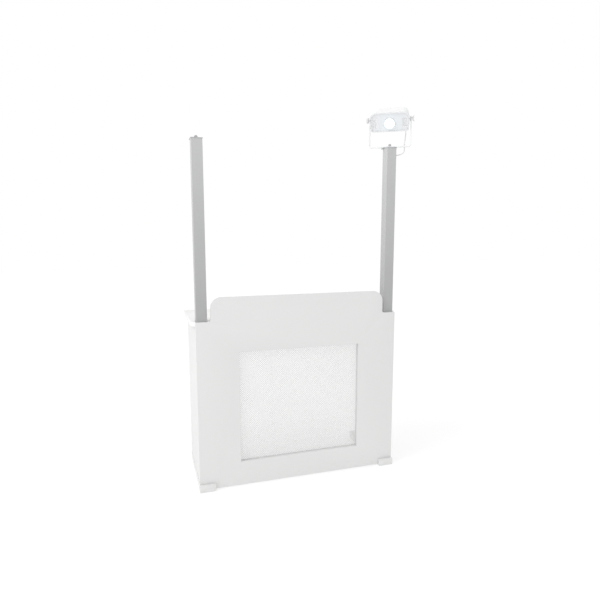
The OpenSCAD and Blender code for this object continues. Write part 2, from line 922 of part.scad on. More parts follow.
module lead_gland() {
  color("#4a4c4f")
  on_head()
  translate([gland_x, gland_y, gland_seat])
  difference() {
    union() {
      cylinder(r = gland_r, h = 12);
      translate([0, 0, -gland_nut]) cylinder(r = gland_r + 2, h = gland_nut, $fn = 6);
      translate([0, 0, -gland_nut - gland_nose])
        cylinder(r1 = lead_r + 1.6, r2 = gland_r - 0.5, h = gland_nose);
    }
    translate([0, 0, -gland_nut - gland_nose - 1]) cylinder(r = lead_r + 0.1, h = 40);
  }
}

// ---- clamps on the tilt studs ----

module tilt_knob() {
  grips = 12;
  l = 15;
  color("#c4c6c9")
  on_head()
  mirror([1, 0, 0])
  difference() {
    union() {
      rod_x(8, knob_start, knob_start + 4);
      rod_x(knob_r, knob_start + 4, knob_start + l);
    }
    rod_x(stud_r + run_gap, knob_start - 1, knob_start + 12);
    for (i = [0:grips - 1])
      rotate([360 * i / grips, 0, 0]) translate([0, 0, knob_r + 1.2])
        rod_x(2.4, knob_start + 3, knob_start + l + 1);
  }
}

module wing_nut() {
  hub = 12;
  color("#c4c6c9")
  on_head()
  difference() {
    union() {
      rod_x(8, knob_start, knob_start + hub);
      for (s = [0, 180])
        rotate([s, 0, 0]) rotate([90, 0, 0]) linear_extrude(3.6, center = true) wing_outline();
    }
    rod_x(stud_r + run_gap, knob_start - 1, knob_start + 12);
  }
}

// One wing, in the plane of the stud
module wing_outline() {
  x = knob_start;
  polygon([[x + 1, 4], [x + 1, 8], [x + 7, 13], [x + 11, 17], [x + 15, 14], [x + 13, 9], [x + 11, 4]]);
  translate([x + 12.5, 15]) circle(2.7);
}

// ---- assembly ----

front_panel();
window_infill();
bead_top();
bead_bottom();
bead_left();
bead_right();
bead_screws();
side_panel_left();
side_panel_right();
counter_top();
rear_rail();
runner_left();
runner_right();
mast_left();
mast_right();
mast_foot_left();
mast_foot_right();
foot_screws();
mast_brackets();
bracket_screws();
mast_cap_left();
mast_cap_right();
cap_bolt();
cap_nut();
pan_bolt();
pan_nut();
lead_grommets();
lead_in_mast();
lead_lower();
driver_case();
driver_cover();
driver_board();
power_inlet();
yoke();
pan_washer();
tilt_washers();
lead_clip();
lead_upper();
head_shell();
head_bezel();
face_plate();
louvre_left();
louvre_right();
lens_ring();
lens();
reflector();
led_board();
heat_sink();
pivot_left();
pivot_right();
lead_gland();
bezel_screws();
tilt_knob();
wing_nut();
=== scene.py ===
import bpy
import bmesh
import json
import math
from mathutils import Matrix, Vector

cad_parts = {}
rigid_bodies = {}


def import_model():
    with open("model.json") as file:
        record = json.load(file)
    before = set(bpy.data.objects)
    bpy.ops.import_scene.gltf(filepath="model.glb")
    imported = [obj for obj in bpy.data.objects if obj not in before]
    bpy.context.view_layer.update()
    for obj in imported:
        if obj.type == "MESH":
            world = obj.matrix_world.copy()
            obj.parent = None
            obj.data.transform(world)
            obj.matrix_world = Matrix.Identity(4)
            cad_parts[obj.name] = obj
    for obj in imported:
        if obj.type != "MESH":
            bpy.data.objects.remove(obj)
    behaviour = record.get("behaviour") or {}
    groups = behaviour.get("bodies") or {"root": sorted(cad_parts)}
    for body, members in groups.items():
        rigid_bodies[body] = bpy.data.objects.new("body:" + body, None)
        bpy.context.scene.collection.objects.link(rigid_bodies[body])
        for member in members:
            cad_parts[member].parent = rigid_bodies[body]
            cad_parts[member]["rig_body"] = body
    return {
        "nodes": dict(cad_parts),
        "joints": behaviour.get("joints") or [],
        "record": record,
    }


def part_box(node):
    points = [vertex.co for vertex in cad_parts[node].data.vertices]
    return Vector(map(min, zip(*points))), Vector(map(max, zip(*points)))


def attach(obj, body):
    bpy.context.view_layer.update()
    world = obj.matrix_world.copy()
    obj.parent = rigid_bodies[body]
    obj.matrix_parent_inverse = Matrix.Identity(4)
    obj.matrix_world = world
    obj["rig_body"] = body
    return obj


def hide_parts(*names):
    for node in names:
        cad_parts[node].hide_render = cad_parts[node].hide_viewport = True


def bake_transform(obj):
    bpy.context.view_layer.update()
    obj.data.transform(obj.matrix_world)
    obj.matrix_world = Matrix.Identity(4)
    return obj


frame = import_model()
nodes = frame["nodes"]
scene = bpy.context.scene
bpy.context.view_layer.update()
print("frame loaded with", len(nodes), "nodes")


# places taken from the frame
def jointNamed(name):
    return next(j for j in frame["joints"] if j["name"] == name)


mastAxis = Vector(jointNamed("yoke_pan")["pos_m"])
tiltAxis = Vector(jointNamed("head_tilt")["pos_m"])
barWay = Vector(jointNamed("head_tilt")["axis"])
panRest = math.atan2(barWay.y, barWay.x)
panelLow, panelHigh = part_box("front_panel")
rootBody = jointNamed("yoke_pan")["parent"]

# camera, at a standing visitor's eye height
cameraSetup = {
    "lens": 30.58,      # mm, on a 36 mm sensor
    "left": 0.874,      # metres to the left of the panel's middle
    "back": 2.757,      # metres in front of the panel
    "height": 1.492,
    "turn": 17.47,      # degrees to the right of straight on
    "down": 8.18,       # degrees below level
}


def makeCamera(setup):
    data = bpy.data.cameras.new("camera")
    data.lens = setup["lens"]
    data.clip_start = 0.05
    data.clip_end = 60
    cam = bpy.data.objects.new("camera", data)
    cam.location = ((panelLow.x + panelHigh.x) / 2 - setup["left"],
                    panelLow.y - setup["back"], setup["height"])
    cam.rotation_euler = (math.radians(90 - setup["down"]), 0, math.radians(-setup["turn"]))
    scene.collection.objects.link(cam)
    scene.camera = cam


makeCamera(cameraSetup)
print("camera placed")

# white studio with one large soft light from the upper left
stageSetup = {
    "floorSize": 16.0,
    "floorColour": (0.45, 0.45, 0.45),
    "floorGlow": 0.56,      # keeps the floor white and its shadows faint
    "skySeen": 1.0,
    "skyLight": 0.9,
    "keyPower": 112,
    "keySize": 3.0,
    "keyPlace": (-4.1, -1.1, 5.2),
    "keyAim": (0.0, 0.0, 0.9),
}


def makeStudio(setup):
    world = bpy.data.worlds.new("studio")
    world.use_nodes = True
    tree = world.node_tree
    sky = tree.nodes["Background"]
    sky.inputs["Color"].default_value = (1, 1, 1, 1)
    path = tree.nodes.new("ShaderNodeLightPath")
    level = tree.nodes.new("ShaderNodeMapRange")
    level.inputs["To Min"].default_value = setup["skyLight"]
    level.inputs["To Max"].default_value = setup["skySeen"]
    tree.links.new(path.outputs["Is Camera Ray"], level.inputs["Value"])
    tree.links.new(level.outputs[0], sky.inputs["Strength"])
    scene.world = world
    scene.view_settings.view_transform = "Standard"
    data = bpy.data.lights.new("keyLight", "AREA")
    data.energy = setup["keyPower"]
    data.size = setup["keySize"]
    light = bpy.data.objects.new("keyLight", data)
    light.location = setup["keyPlace"]
    aim = Vector(setup["keyAim"]) - Vector(setup["keyPlace"])
    light.rotation_euler = aim.to_track_quat("-Z", "Y").to_euler()
    scene.collection.objects.link(light)


def makeFloor(setup):
    bm = bmesh.new()
    bmesh.ops.create_grid(bm, x_segments=1, y_segments=1, size=setup["floorSize"])
    mesh = bpy.data.meshes.new("floor")
    bm.to_mesh(mesh)
    bm.free()
    floor = bpy.data.objects.new("floor", mesh)
    scene.collection.objects.link(floor)
    paint = bpy.data.materials.new("floorPaint")
    paint.use_nodes = True
    shader = paint.node_tree.nodes["Principled BSDF"]
    shader.inputs["Base Color"].default_value = (*setup["floorColour"], 1)
    shader.inputs["Roughness"].default_value = 0.7
    shader.inputs["Emission Color"].default_value = (1, 1, 1, 1)
    shader.inputs["Emission Strength"].default_value = setup["floorGlow"]
    mesh.materials.append(paint)


makeStudio(stageSetup)
makeFloor(stageSetup)
print("studio set")


# adds nodes to one tree and joins them
class Wires:
    def __init__(self, tree):
        self.tree = tree

    def add(self, kind, values=None, **settings):
        node = self.tree.nodes.new(kind)
        for name, value in settings.items():
            setattr(node, name, value)
        for name, value in (values or {}).items():
            socket = node.inputs[name]
            if isinstance(value, bpy.types.NodeSocket):
                self.tree.links.new(value, socket)
            else:
                socket.default_value = value
        return node

    def math(self, operation, a, b=0.0, clamp=False):
        node = self.tree.nodes.new("ShaderNodeMath")
        node.operation = operation
        node.use_clamp = clamp
        for socket, value in zip(node.inputs, (a, b)):
            if isinstance(value, bpy.types.NodeSocket):
                self.tree.links.new(value, socket)
            else:
                socket.default_value = value
        return node.outputs[0]

    def mix(self, share, a, b):
        node = self.tree.nodes.new("ShaderNodeMix")
        node.data_type = "RGBA"
        for socket, value in ((node.inputs[0], share), (node.inputs[6], a), (node.inputs[7], b)):
            if isinstance(value, bpy.types.NodeSocket):
                self.tree.links.new(value, socket)
            else:
                socket.default_value = value
        return node.outputs[2]

    def spread(self, value, low, high, outLow=0.0, outHigh=1.0):
        node = self.add("ShaderNodeMapRange", {"Value": value, "From Min": low, "From Max": high,
                                               "To Min": outLow, "To Max": outHigh})
        return node.outputs[0]


def newGroup(name, inputs, outputs):
    tree = bpy.data.node_groups.new(name, "ShaderNodeTree")
    for title, kind, value in inputs:
        socket = tree.interface.new_socket(title, in_out="INPUT", socket_type=kind)
        socket.default_value = value
    for title, kind in outputs:
        tree.interface.new_socket(title, in_out="OUTPUT", socket_type=kind)
    return tree, tree.nodes.new("NodeGroupInput").outputs, tree.nodes.new("NodeGroupOutput").inputs


number, colour = "NodeSocketFloat", "NodeSocketColor"


# cloudy drift of a paint's colour, with a mask for its sheen
def makeDriftGroup():
    tree, given, out = newGroup("paintDrift", [
        ("Colour", colour, (0.8, 0.8, 0.8, 1)), ("Drift", number, 0.03), ("Scale", number, 3.0),
    ], [("Colour", colour), ("Mask", number)])
    w = Wires(tree)
    place = w.add("ShaderNodeTexCoord").outputs["Object"]
    broad = w.add("ShaderNodeTexNoise", {"Vector": place, "Scale": given["Scale"], "Detail": 5.0,
                                         "Roughness": 0.6}).outputs[0]
    fine = w.add("ShaderNodeTexNoise", {"Vector": place, "Scale": w.math("MULTIPLY", given["Scale"], 23.0),
                                        "Detail": 3.0, "Roughness": 0.55}).outputs[0]
    both = w.math("ADD", w.math("MULTIPLY", broad, 0.7), w.math("MULTIPLY", fine, 0.3))
    shift = w.math("MULTIPLY", w.spread(both, 0.32, 0.68, -1.0, 1.0), given["Drift"])
    scaled = w.add("ShaderNodeVectorMath", {0: given["Colour"]}, operation="SCALE")
    tree.links.new(w.math("ADD", shift, 1.0), scaled.inputs["Scale"])
    tree.links.new(scaled.outputs[0], out["Colour"])
    tree.links.new(w.spread(both, 0.35, 0.65), out["Mask"])
    return tree


# a broken mask along outer edges, where hands and trolleys rub
def makeEdgeGroup():
    tree, given, out = newGroup("edgeRub", [
        ("Width", number, 0.003), ("Scale", number, 60.0), ("Amount", number, 0.5),
    ], [("Mask", number)])
    w = Wires(tree)
    place = w.add("ShaderNodeTexCoord").outputs["Object"]
    plain = w.add("ShaderNodeNewGeometry").outputs["Normal"]
    rounded = w.add("ShaderNodeBevel", {"Radius": given["Width"]}, samples=4).outputs[0]
    facing = w.add("ShaderNodeVectorMath", {0: plain, 1: rounded}, operation="DOT_PRODUCT").outputs["Value"]
    bend = w.spread(facing, 0.995, 0.86)
    patch = w.add("ShaderNodeTexNoise", {"Vector": place, "Scale": given["Scale"], "Detail": 6.0,
                                         "Roughness": 0.65}).outputs[0]
    broken = w.math("MULTIPLY", bend, w.spread(patch, 0.42, 0.62))
    tree.links.new(w.math("MULTIPLY", broken, given["Amount"], clamp=True), out["Mask"])
    return tree


# the small hollows of sprayed paint, as a height
def makePeelGroup():
    tree, given, out = newGroup("orangePeel", [
        ("Scale", number, 260.0), ("Grit", number, 0.3),
    ], [("Height", number)])
    w = Wires(tree)
    place = w.add("ShaderNodeTexCoord").outputs["Object"]
    peel = w.add("ShaderNodeTexNoise", {"Vector": place, "Scale": given["Scale"], "Detail": 1.0,
                                        "Roughness": 0.4}).outputs[0]
    grit = w.add("ShaderNodeTexNoise", {"Vector": place, "Scale": w.math("MULTIPLY", given["Scale"], 6.0),
                                        "Detail": 2.0, "Roughness": 0.6}).outputs[0]
    tree.links.new(w.math("ADD", peel, w.math("MULTIPLY", grit, given["Grit"])), out["Height"])
    return tree


# scuffs and dust near the floor, and dust that settles on level faces
def makeFloorGroup():
    tree, given, out = newGroup("floorScuff", [
        ("Reach", number, 0.16), ("Dust", number, 0.3),
    ], [("Scuff", number), ("Dust", number)])
    w = Wires(tree)
    place = w.add("ShaderNodeTexCoord").outputs["Object"]
    axes = w.add("ShaderNodeSeparateXYZ", {0: place}).outputs
    low = w.add("ShaderNodeMapRange", {"Value": axes["Z"], "From Min": 0.0, "To Min": 1.0, "To Max": 0.0})
    tree.links.new(given["Reach"], low.inputs["From Max"])
    flat = w.add("ShaderNodeMapping", {"Vector": place, "Scale": (9.0, 9.0, 70.0)}).outputs[0]
    streak = w.add("ShaderNodeTexNoise", {"Vector": flat, "Scale": 3.0, "Detail": 7.0,
                                          "Roughness": 0.7}).outputs[0]
    scuff = w.math("MULTIPLY", w.math("POWER", low.outputs[0], 1.6), w.spread(streak, 0.5, 0.68))
    outward = w.add("ShaderNodeNewGeometry").outputs["Normal"]
    facing = w.add("ShaderNodeSeparateXYZ", {0: outward}).outputs["Z"]
    cloud = w.add("ShaderNodeTexNoise", {"Vector": place, "Scale": 14.0, "Detail": 8.0,
                                         "Roughness": 0.7}).outputs[0]
    dust = w.math("MULTIPLY", w.spread(facing, 0.6, 1.0), w.spread(cloud, 0.35, 0.75))
    tree.links.new(scuff, out["Scuff"])
    tree.links.new(w.math("MULTIPLY", dust, given["Dust"], clamp=True), out["Dust"])
    return tree


# long hairlines of a drawn or turned metal, as a height and a sheen mask
def makeBrushGroup():
    tree, given, out = newGroup("drawnMetal", [
        ("Stretch", "NodeSocketVector", (900.0, 900.0, 12.0)),
    ], [("Height", number), ("Mask", number)])
    w = Wires(tree)
    place = w.add("ShaderNodeTexCoord").outputs["Object"]
    pulled = w.add("ShaderNodeMapping", {"Vector": place, "Scale": given["Stretch"]}).outputs[0]
    lines = w.add("ShaderNodeTexNoise", {"Vector": pulled, "Scale": 1.0, "Detail": 3.0,
                                         "Roughness": 0.6}).outputs[0]
    blotch = w.add("ShaderNodeTexNoise", {"Vector": place, "Scale": 90.0, "Detail": 5.0,
                                          "Roughness": 0.6}).outputs[0]
    tree.links.new(lines, out["Height"])
    both = w.math("ADD", w.math("MULTIPLY", lines, 0.5), w.math("MULTIPLY", blotch, 0.5))
    tree.links.new(both, out["Mask"])
    return tree


driftGroup = makeDriftGroup()
edgeGroup = makeEdgeGroup()
peelGroup = makePeelGroup()
floorGroup = makeFloorGroup()
brushGroup = makeBrushGroup()
print("shader groups built")


def newMaterial(name):
    mat = bpy.data.materials.new(name)
    mat.use_nodes = True
    return mat, Wires(mat.node_tree), mat.node_tree.nodes["Principled BSDF"]


def useGroup(w, tree, values=None):
    node = w.add("ShaderNodeGroup", node_tree=tree)
    for name, value in (values or {}).items():
        if isinstance(value, bpy.types.NodeSocket):
            w.tree.links.new(value, node.inputs[name])
        else:
            node.inputs[name].default_value = value
    return node.outputs


def feed(w, shader, **sockets):
    for name, value in sockets.items():
        w.tree.links.new(value, shader.inputs[name.replace("_", " ")])


def bumpFrom(w, height, distance, strength=1.0, under=None):
    values = {"Height": height, "Distance": distance, "Strength": strength}
    if under is not None:
        values["Normal"] = under
    return w.add("ShaderNodeBump", values).outputs[0]


# colours that wear leaves on every coated surface
wearColours = {
    "scuff": (0.34, 0.33, 0.31, 1),
    "boardDust": (0.70, 0.68, 0.64, 1),
    "metalDust": (0.68, 0.66, 0.62, 1),
}


# satin lacquer on board: drift, rubbed edges, floor scuffs, dust and orange peel
def makeLacquer(name, base, rough=0.36, drift=0.008, scuff=0.15, dust=0.1, rub=0.3, reach=0.12):
    mat, w, shader = newMaterial(name)
    paint = useGroup(w, driftGroup, {"Colour": (*base, 1), "Drift": drift, "Scale": 2.2})
    edge = useGroup(w, edgeGroup, {"Width": 0.0025, "Scale": 45.0, "Amount": rub})["Mask"]
    low = useGroup(w, floorGroup, {"Reach": reach, "Dust": dust})
    rubbed = w.mix(edge, paint["Colour"], (base[0] * 0.72, base[1] * 0.7, base[2] * 0.66, 1))
    scuffed = w.mix(w.math("MULTIPLY", low["Scuff"], scuff), rubbed, wearColours["scuff"])
    dusty = w.mix(w.math("MULTIPLY", low["Dust"], 0.35), scuffed, wearColours["boardDust"])
    sheen = w.math("ADD", w.spread(paint["Mask"], 0.0, 1.0, rough - 0.04, rough + 0.05),
                   w.math("MULTIPLY", low["Dust"], 0.25))
    peel = useGroup(w, peelGroup, {"Scale": 210.0, "Grit": 0.12})["Height"]
    chip = bumpFrom(w, w.math("MULTIPLY", edge, -1.0), 0.0004)
    feed(w, shader, Base_Color=dusty, Roughness=w.math("ADD", sheen, w.math("MULTIPLY", low["Scuff"], 0.2)),
         Normal=bumpFrom(w, peel, 0.00012, 0.6, chip))
    shader.inputs["Coat Weight"].default_value = 0.12
    shader.inputs["Coat Roughness"].default_value = 0.25
    return mat


# powder coat on metal: fine grit, drift, chips that show bare metal along edges, and an optional painted shade
# towards the bottom
def makePowder(name, base, rough=0.42, drift=0.02, grit=0.8, chips=0.35, bare=(0.42, 0.43, 0.44),
               scale=5.0, dust=0.2, shadeLow=None):
    mat, w, shader = newMaterial(name)
    coat = (*base, 1)
    if shadeLow:
        # painted shade: the coat darkens towards the bottom, between the given heights
        place = w.add("ShaderNodeTexCoord").outputs["Object"]
        height = w.add("ShaderNodeSeparateXYZ", {0: place}).outputs["Z"]
        coat = w.mix(w.spread(height, *shadeLow["heights"]), (*shadeLow["colour"], 1), coat)
    paint = useGroup(w, driftGroup, {"Colour": coat, "Drift": drift, "Scale": scale})
    edge = useGroup(w, edgeGroup, {"Width": 0.0016, "Scale": 130.0, "Amount": chips})["Mask"]
    low = useGroup(w, floorGroup, {"Reach": 0.1, "Dust": dust})
    bared = w.mix(edge, paint["Colour"], (*bare, 1))
    dusty = w.mix(w.math("MULTIPLY", low["Dust"], 0.4), bared, wearColours["metalDust"])
    sheen = w.math("ADD", w.spread(paint["Mask"], 0.0, 1.0, rough - 0.05, rough + 0.06),
                   w.math("MULTIPLY", low["Dust"], 0.2))
    peel = useGroup(w, peelGroup, {"Scale": 620.0, "Grit": grit})["Height"]
    chip = bumpFrom(w, w.math("MULTIPLY", edge, -1.0), 0.0003)
    feed(w, shader, Base_Color=dusty, Roughness=sheen, Metallic=w.math("MULTIPLY", edge, 0.6),
         Normal=bumpFrom(w, peel, 0.00008, 0.7, chip))
    return mat


# bare or plated metal with hairlines and a little tarnish
def makeMetal(name, base, rough=0.3, stretch=(900.0, 900.0, 12.0), tarnish=(0.42, 0.40, 0.36), fade=0.25):
    mat, w, shader = newMaterial(name)
    hair = useGroup(w, brushGroup, {"Stretch": stretch})
    paint = useGroup(w, driftGroup, {"Colour": (*base, 1), "Drift": 0.05, "Scale": 40.0})
    aged = w.mix(w.math("MULTIPLY", w.spread(hair["Mask"], 0.5, 0.75), fade), paint["Colour"], (*tarnish, 1))
    feed(w, shader, Base_Color=aged, Roughness=w.spread(hair["Mask"], 0.3, 0.7, rough - 0.08, rough + 0.12),
         Normal=bumpFrom(w, hair["Height"], 0.00004, 0.6))
    shader.inputs["Metallic"].default_value = 1.0
    return mat


# moulded plastic or rubber: fine spark texture, drift and rubbed edges
def makeMoulded(name, base, rough=0.45, grain=900.0, depth=0.00006, rub=0.25, drift=0.03):
    mat, w, shader = newMaterial(name)
    paint = useGroup(w, driftGroup, {"Colour": (*base, 1), "Drift": drift, "Scale": 18.0})
    edge = useGroup(w, edgeGroup, {"Width": 0.0009, "Scale": 220.0, "Amount": rub})["Mask"]
    lighter = tuple(min(1.0, c * 1.25 + 0.03) for c in base)
    peel = useGroup(w, peelGroup, {"Scale": grain, "Grit": 0.5})["Height"]
    feed(w, shader, Base_Color=w.mix(edge, paint["Colour"], (*lighter, 1)),
         Roughness=w.spread(paint["Mask"], 0.0, 1.0, rough - 0.06, rough + 0.08),
         Normal=bumpFrom(w, peel, depth, 0.6))
    return mat


# a clear lens with a faint cool cast, lit from behind
lensLook = {
    "tint": (0.80, 0.96, 1.0, 1),
    "bend": 1.47,           # index of refraction
    "glow": (0.72, 0.95, 1.0, 1),
    "glowStrength": 0.55,
}


def makeLensGlass(name):
    mat, w, shader = newMaterial(name)
    paint = useGroup(w, driftGroup, {"Colour": lensLook["tint"], "Drift": 0.01, "Scale": 60.0})
    feed(w, shader, Base_Color=paint["Colour"], Roughness=w.spread(paint["Mask"], 0.6, 1.0, 0.02, 0.09))
    shader.inputs["Transmission Weight"].default_value = 1.0
    shader.inputs["IOR"].default_value = lensLook["bend"]
    shader.inputs["Emission Color"].default_value = lensLook["glow"]
    shader.inputs["Emission Strength"].default_value = lensLook["glowStrength"]
    return mat


# the lit board: a phosphor grid that glows
def makeGlow(name, glow, strength=2.6):
    mat, w, shader = newMaterial(name)
    place = w.add("ShaderNodeTexCoord").outputs["Object"]
    chips = w.add("ShaderNodeTexVoronoi", {"Vector": place, "Scale": 420.0}, distance="CHEBYCHEV",
                  ).outputs["Distance"]
    lit = w.mix(w.spread(chips, 0.2, 0.6), (1.0, 1.0, 1.0, 1), (*glow, 1))
    feed(w, shader, Base_Color=lit, Emission_Color=lit)
    shader.inputs["Emission Strength"].default_value = strength
    shader.inputs["Roughness"].default_value = 0.5
    return mat


# the lamp's face, with a painted glow round its lens: emission on the face that stands in for the lens's light
def makeFacePaintedGlow(name, base, glow):
    mat = makeMoulded(name, base, rough=0.4, rub=0.1)
    w = Wires(mat.node_tree)
    shader = mat.node_tree.nodes["Principled BSDF"]
    low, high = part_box("lens")
    place = w.add("ShaderNodeTexCoord").outputs["Object"]
    away = w.add("ShaderNodeVectorMath", {0: place, 1: (low + high) / 2},
                 operation="DISTANCE").outputs["Value"]
    paintedGlowColour = [part * glow["strength"] for part in glow["colour"]]
    fade = w.spread(away, glow["near"], glow["far"])
    # painted glow: emission on the face, fading away from the lens
    feed(w, shader, Emission_Color=w.mix(fade, (*paintedGlowColour, 1), (0, 0, 0, 1)))
    shader.inputs["Emission Strength"].default_value = 1.0
    return mat


# a sheathed lead: faint ribs round it from the sheath's lay
def makeSheath(name, base):
    mat, w, shader = newMaterial(name)
    paint = useGroup(w, driftGroup, {"Colour": (*base, 1), "Drift": 0.03, "Scale": 30.0})
    place = w.add("ShaderNodeTexCoord").outputs["Object"]
    lay = w.add("ShaderNodeTexWave", {"Vector": place, "Scale": 150.0, "Distortion": 1.5, "Detail": 1.0},
                wave_type="BANDS", bands_direction="DIAGONAL").outputs["Fac"]
    peel = useGroup(w, peelGroup, {"Scale": 1200.0, "Grit": 0.4})["Height"]
    under = bumpFrom(w, lay, 0.00012, 0.35)
    feed(w, shader, Base_Color=paint["Colour"], Roughness=w.spread(paint["Mask"], 0.0, 1.0, 0.38, 0.5),
         Normal=bumpFrom(w, peel, 0.00005, 0.5, under))
    return mat


# a circuit board: tracks in the solder mask and bare pads
def makeCircuit(name):
    mat, w, shader = newMaterial(name)
    place = w.add("ShaderNodeTexCoord").outputs["Object"]
    tracks = w.add("ShaderNodeTexBrick", {"Vector": place, "Scale": 90.0, "Mortar Size": 0.08,
                                          "Color1": (0.02, 0.13, 0.07, 1), "Color2": (0.03, 0.17, 0.09, 1),
                                          "Mortar": (0.08, 0.30, 0.16, 1)})
    feed(w, shader, Base_Color=tracks.outputs["Color"],
         Normal=bumpFrom(w, tracks.outputs["Fac"], 0.00006, 0.6))
    shader.inputs["Roughness"].default_value = 0.35
    return mat


materials = {
    "panel_white": makeLacquer("panelLacquer", (0.745, 0.745, 0.742)),
    "mesh_white": makePowder("sheetPowder", (0.76, 0.76, 0.757), rough=0.45, chips=0.0, scale=6.0),
    "bead_white": makeLacquer("beadLacquer", (0.79, 0.79, 0.785), scuff=0.0),
    # the boards' lacquer is a darker copy of the panels' white: painted shade that holds the lit side boards down
    "board_white": makeLacquer("boardLacquerPaintedShade", (0.715, 0.715, 0.712)),
    # the top's lacquer is a lighter copy of the panels' white: painted light on the upward face
    "top_white": makeLacquer("topLacquerPaintedLight", (0.84, 0.84, 0.835), rough=0.3, dust=0.2),
    "runner_white": makeLacquer("runnerLacquer", (0.76, 0.76, 0.755), scuff=0.3, rub=0.5, reach=0.06),
    # the masts' coat is darker towards the bottom: painted shade
    "mast_grey": makePowder("mastPowder", (0.535, 0.537, 0.54), rough=0.4, chips=0.2,
                            shadeLow={"heights": (1.0, 1.95), "colour": (0.41, 0.412, 0.415)}),
    "steel_dark": makeMetal("dullSteel", (0.50, 0.51, 0.52), rough=0.42),
    "cap_grey": makePowder("capPowder", (0.47, 0.475, 0.485), rough=0.42, chips=0.4),
    "zinc": makeMetal("zincPlate", (0.50, 0.50, 0.50), rough=0.3, stretch=(500.0, 500.0, 500.0)),
    "rubber_black": makeMoulded("blackRubber", (0.035, 0.035, 0.037), rough=0.7, grain=700.0),
    "lead_grey": makeSheath("leadSheath", (0.78, 0.785, 0.79)),
    "driver_metal": makeMetal("driverSheet", (0.66, 0.67, 0.68), rough=0.35, stretch=(12.0, 900.0, 900.0)),
    "circuit_green": makeCircuit("circuitBoard"),
    "plastic_black": makeMoulded("blackPlastic", (0.04, 0.04, 0.045), rough=0.5),
    "fibre_grey": makeMoulded("fibreWasher", (0.16, 0.165, 0.17), rough=0.75, grain=500.0, depth=0.0001),
    "yoke_white": makePowder("yokePowder", (0.86, 0.865, 0.87), rough=0.4, chips=0.3),
    "shell_grey": makePowder("shellPowder", (0.87, 0.872, 0.876), rough=0.45, chips=0.1, scale=12.0),
    "bezel_white": makePowder("bezelPowder", (0.80, 0.81, 0.82), rough=0.38, chips=0.15, scale=12.0),
    # the face's emission round the lens is a painted glow
    "face_blue": makeFacePaintedGlow("facePlasticPaintedGlow", (0.78, 0.795, 0.815),
                             {"near": 0.030, "far": 0.085, "strength": 0.06, "colour": (0.45, 0.85, 1.0)}),
    # the louvres are lighter than the face they match: painted light that washes out the shade between the slats
    "louvre_grey": makeMoulded("louvrePlasticPaintedLight", (0.93, 0.94, 0.95), rough=0.45, rub=0.15),
    "ring_metal": makeMetal("turnedRing", (0.86, 0.88, 0.90), rough=0.45, stretch=(300.0, 300.0, 300.0)),
    "lens_glass": makeLensGlass("lensGlass"),
    "reflector_bright": makeMetal("reflectorBright", (0.90, 0.91, 0.92), rough=0.16, fade=0.05),
    "led_yellow": makeGlow("lampBoard", (0.55, 0.93, 1.0)),
    "sink_metal": makeMetal("sinkCasting", (0.52, 0.53, 0.54), rough=0.5),
    "knob_grey": makeMoulded("knobPlastic", (0.72, 0.72, 0.73), rough=0.42, rub=0.3),
    "wing_zinc": makeMetal("wingCasting", (0.80, 0.80, 0.80), rough=0.48, stretch=(260.0, 260.0, 260.0)),
}
print("materials built:", len(materials))

slotOf = {p["node"]: p["material_slot"] for p in frame["record"]["subparts"]}


def addPiece(name, bm, slot, body, stands=(), smoothAngle=35):
    mesh = bpy.data.meshes.new(name)
    bm.to_mesh(mesh)
    bm.free()
    mesh.materials.append(materials[slot])
    mesh.shade_smooth()
    mesh.set_sharp_from_angle(angle=math.radians(smoothAngle))
    piece = bpy.data.objects.new(name, mesh)
    scene.collection.objects.link(piece)
    if body:
        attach(piece, body)
    if stands:
        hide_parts(*stands)
    return piece


def mergedCopy(node):
    bm = bmesh.new()
    bm.from_mesh(nodes[node].data)
    bmesh.ops.remove_doubles(bm, verts=bm.verts, dist=1e-6)
    bmesh.ops.dissolve_limit(bm, angle_limit=math.radians(1.0), verts=bm.verts, edges=bm.edges)
    return bm


# a CAD piece with its sharp edges eased, standing for the CAD one
def easedPiece(name, node, ease, segments=3, sharp=30):
    bm = mergedCopy(node)
    edges = [e for e in bm.edges if e.is_manifold and e.calc_face_angle(0) > math.radians(sharp)]
    bmesh.ops.bevel(bm, geom=edges, offset=ease, offset_type="OFFSET", segments=segments, profile=0.5,
                    affect="EDGES", material=-1, clamp_overlap=True)
    return addPiece(name, bm, slotOf[node], nodes[node]["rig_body"], [node])


easedBoards = {
    "frontBoard": ("front_panel", 0.0016),
    "topBoard": ("counter_top", 0.0022),
    "leftSideBoard": ("side_panel_left", 0.0012),
    "rightSideBoard": ("side_panel_right", 0.0012),
    "rearRailBoard": ("rear_rail", 0.0012),
    "leftRunnerBoard": ("runner_left", 0.0020),
    "rightRunnerBoard": ("runner_right", 0.0020),
    "leftCapPlate": ("mast_cap_left", 0.0008),
    "rightCapPlate": ("mast_cap_right", 0.0008),
}
for pieceName, (nodeName, ease) in easedBoards.items():
    easedPiece(pieceName, nodeName, ease)
print("boards eased")

for nodeName, node in nodes.items():
    node.data.materials.clear()
    node.data.materials.append(materials[slotOf[nodeName]])
print("CAD nodes painted")

# expanded mesh behind the window, with square holes turned by 45 degrees
sheetSetup = {
    "pitch": 0.008,       # between hole centres
    "strand": 0.0027,     # width of the metal between two holes
    "lap": 0.008,         # how far the mesh runs past the window
}


def windowEdges():
    left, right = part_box("bead_left")[1].x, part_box("bead_right")[0].x
    bottom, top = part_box("bead_bottom")[1].z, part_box("bead_top")[0].z
    return left, right, bottom, top


